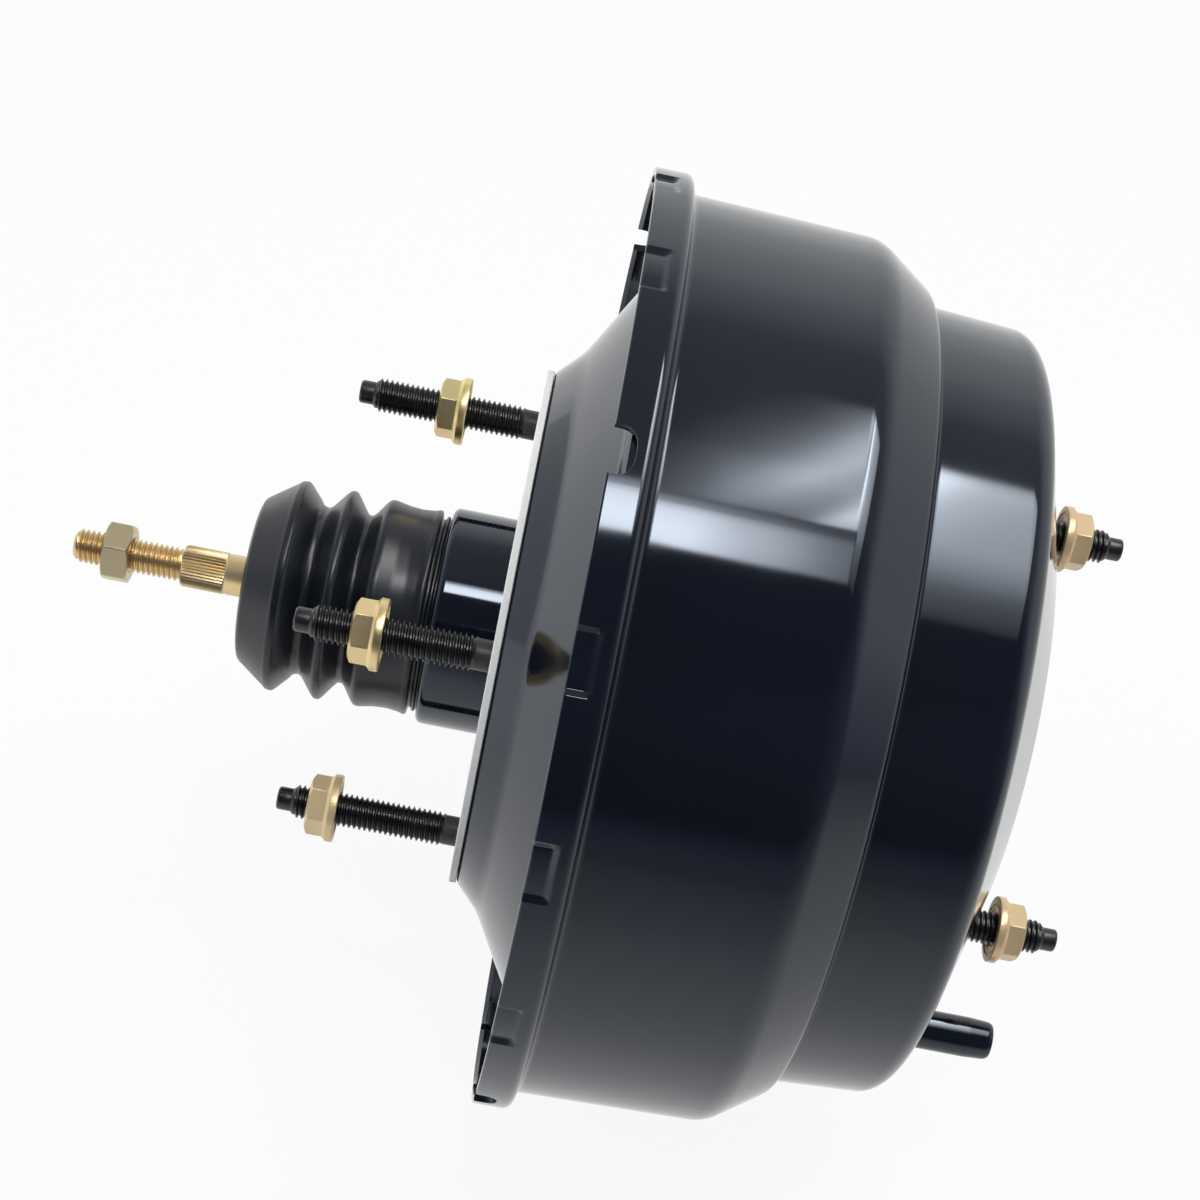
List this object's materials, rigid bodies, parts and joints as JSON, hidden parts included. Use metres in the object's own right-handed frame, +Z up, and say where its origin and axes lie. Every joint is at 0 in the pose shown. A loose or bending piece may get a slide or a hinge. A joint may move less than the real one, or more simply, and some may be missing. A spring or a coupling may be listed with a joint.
{
  "type": "brake booster",
  "caption": "Vacuum brake booster with a stepped pressed can, firewall studs, rubber boot, sprung pushrod valve, twin diaphragms and master cylinder studs.",
  "frame": {"origin": "centre of the firewall stud pattern, on the rear face of the firewall gasket", "axes": "+X along the booster from the firewall to the master cylinder; +Z up, with the firewall studs level; +Y to the left when seen from the firewall with X pointing away"},
  "size_m": [0.2479, 0.2236, 0.2236],
  "materials": {
    "shell_paint": "gloss black paint",
    "zinc_steel": "zinc-plated pressed steel",
    "spring_steel": "bright steel",
    "black_steel": "black phosphated steel",
    "yellow_zinc": "pale yellow zinc plate",
    "gold_zinc": "golden zinc plate",
    "gasket_paper": "white gasket sheet",
    "boot_rubber": "satin black moulded rubber",
    "seal_rubber": "black rubber",
    "phenolic": "moulded phenolic",
    "filter_foam": "open-cell foam",
    "silencer_felt": "white felt"
  },
  "bodies": {
    "housing": {"front_shell": "shell_paint", "rear_shell": "shell_paint", "centre_plate": "zinc_steel", "rear_reinforcement": "zinc_steel", "front_reinforcement": "zinc_steel", "firewall_gasket": "gasket_paper", "firewall_studs": "black_steel", "firewall_nuts": "yellow_zinc", "master_cylinder_studs": "black_steel", "master_cylinder_nuts": "yellow_zinc", "vacuum_tube": "shell_paint", "neck_seal": "seal_rubber", "neck_retainer": "zinc_steel", "centre_seal": "seal_rubber", "rear_diaphragm": "seal_rubber", "front_diaphragm": "seal_rubber", "boot": "boot_rubber", "main_return_spring": "spring_steel"},
    "power_piston": {"rear_piston_plate": "zinc_steel", "front_piston_plate": "zinc_steel", "rear_hub_ring": "zinc_steel", "front_hub_ring": "zinc_steel", "valve_body": "phenolic", "poppet": "seal_rubber", "poppet_retainer": "zinc_steel", "poppet_spring": "spring_steel", "rod_return_spring": "spring_steel", "air_filter": "filter_foam", "silencer": "silencer_felt", "stop_key": "zinc_steel", "reaction_disc": "seal_rubber", "output_rod": "yellow_zinc", "output_rod_retainer": "zinc_steel", "output_rod_tip": "spring_steel"},
    "valve_plunger": {"plunger": "spring_steel"},
    "pushrod": {"operating_rod": "gold_zinc", "rod_spring_seat": "zinc_steel", "rod_nut": "yellow_zinc"}
  },
  "joints": [
    {"name": "power_stroke", "type": "slide", "parent": "housing", "child": "power_piston", "axis": [1, 0, 0], "range_m": [0, 0.025], "stiffness_N_per_m": 1500, "springref_m": -0.06, "deforming": ["boot", "main_return_spring", "rear_diaphragm", "front_diaphragm"]},
    {"name": "valve_travel", "type": "slide", "parent": "power_piston", "child": "valve_plunger", "axis": [1, 0, 0], "range_m": [0, 0.002], "stiffness_N_per_m": 1200, "springref_m": -0.02, "deforming": ["rod_return_spring", "poppet", "poppet_spring"]},
    {"name": "rod_swivel", "type": "hinge", "parent": "valve_plunger", "child": "pushrod", "pos_m": [0.019, 0, 0], "axis": [0, 1, 0], "range_deg": [-3, 3], "stiffness_Nm_per_rad": 2, "deforming": ["air_filter", "silencer"]}
  ]
}
